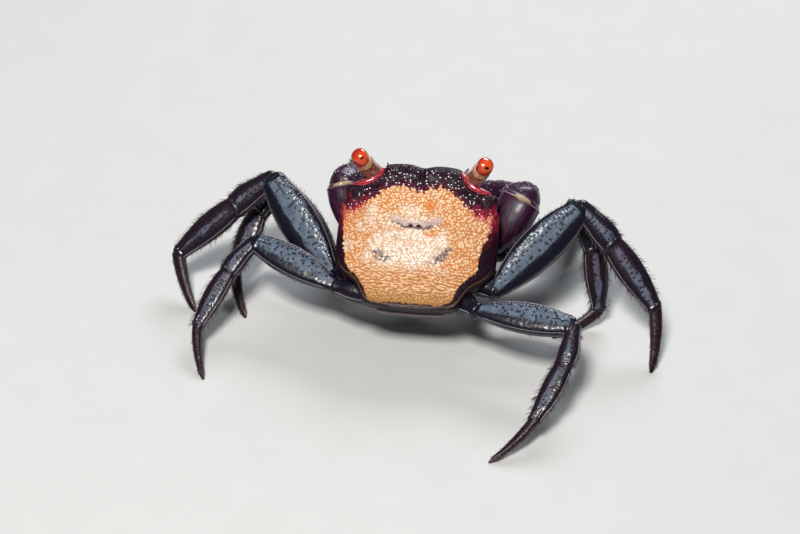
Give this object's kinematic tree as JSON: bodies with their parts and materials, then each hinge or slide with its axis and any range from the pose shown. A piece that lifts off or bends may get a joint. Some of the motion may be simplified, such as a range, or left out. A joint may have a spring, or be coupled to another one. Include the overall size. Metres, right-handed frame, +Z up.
{
  "type": "land crab",
  "caption": "Small land crab standing on its feet: domed granular shell, raised eyes on short stalks, folded claws and long flattened jointed legs.",
  "frame": {"origin": "middle of the crab's box seen from above, on the floor plane it stands on", "axes": "+Y the way the crab faces, +X towards its right side, +Z up"},
  "size_m": [0.0616, 0.0584, 0.021],
  "materials": {
    "shell_orange": "cream-orange granular shell with a blackish purple front and rim",
    "shell_dark": "blackish purple smooth shell plates",
    "leg_blue": "glossy blackish indigo, finely pitted",
    "foot_brown": "brownish purple, bristly",
    "claw_purple": "dark wine purple, satin",
    "stalk_amber": "translucent reddish amber",
    "eye_red": "wet glossy red-orange",
    "feeler_brown": "reddish brown"
  },
  "bodies": {
    "root": {"carapace": "shell_orange", "thorax": "shell_dark", "abdomen": "shell_dark", "mouthparts": "feeler_brown", "eyestalk_left": "stalk_amber", "eye_left": "eye_red", "antenna_left": "feeler_brown", "claw_left_base": "claw_purple", "claw_left_arm": "claw_purple", "claw_left_wrist": "claw_purple", "claw_left_hand": "claw_purple", "claw_left_finger": "claw_purple", "leg_first_left_base": "leg_blue", "leg_first_left_merus": "leg_blue", "leg_first_left_carpus": "leg_blue", "leg_first_left_propodus": "leg_blue", "leg_first_left_dactylus": "foot_brown", "leg_second_left_base": "leg_blue", "leg_second_left_merus": "leg_blue", "leg_second_left_carpus": "leg_blue", "leg_second_left_propodus": "leg_blue", "leg_second_left_dactylus": "foot_brown", "leg_third_left_base": "leg_blue", "leg_third_left_merus": "leg_blue", "leg_third_left_carpus": "leg_blue", "leg_third_left_propodus": "leg_blue", "leg_third_left_dactylus": "foot_brown", "leg_fourth_left_base": "leg_blue", "leg_fourth_left_merus": "leg_blue", "leg_fourth_left_carpus": "leg_blue", "leg_fourth_left_propodus": "leg_blue", "leg_fourth_left_dactylus": "foot_brown", "eyestalk_right": "stalk_amber", "eye_right": "eye_red", "antenna_right": "feeler_brown", "claw_right_base": "claw_purple", "claw_right_arm": "claw_purple", "claw_right_wrist": "claw_purple", "claw_right_hand": "claw_purple", "claw_right_finger": "claw_purple", "leg_first_right_base": "leg_blue", "leg_first_right_merus": "leg_blue", "leg_first_right_carpus": "leg_blue", "leg_first_right_propodus": "leg_blue", "leg_first_right_dactylus": "foot_brown", "leg_second_right_base": "leg_blue", "leg_second_right_merus": "leg_blue", "leg_second_right_carpus": "leg_blue", "leg_second_right_propodus": "leg_blue", "leg_second_right_dactylus": "foot_brown", "leg_third_right_base": "leg_blue", "leg_third_right_merus": "leg_blue", "leg_third_right_carpus": "leg_blue", "leg_third_right_propodus": "leg_blue", "leg_third_right_dactylus": "foot_brown", "leg_fourth_right_base": "leg_blue", "leg_fourth_right_merus": "leg_blue", "leg_fourth_right_carpus": "leg_blue", "leg_fourth_right_propodus": "leg_blue", "leg_fourth_right_dactylus": "foot_brown"}
  },
  "joints": []
}
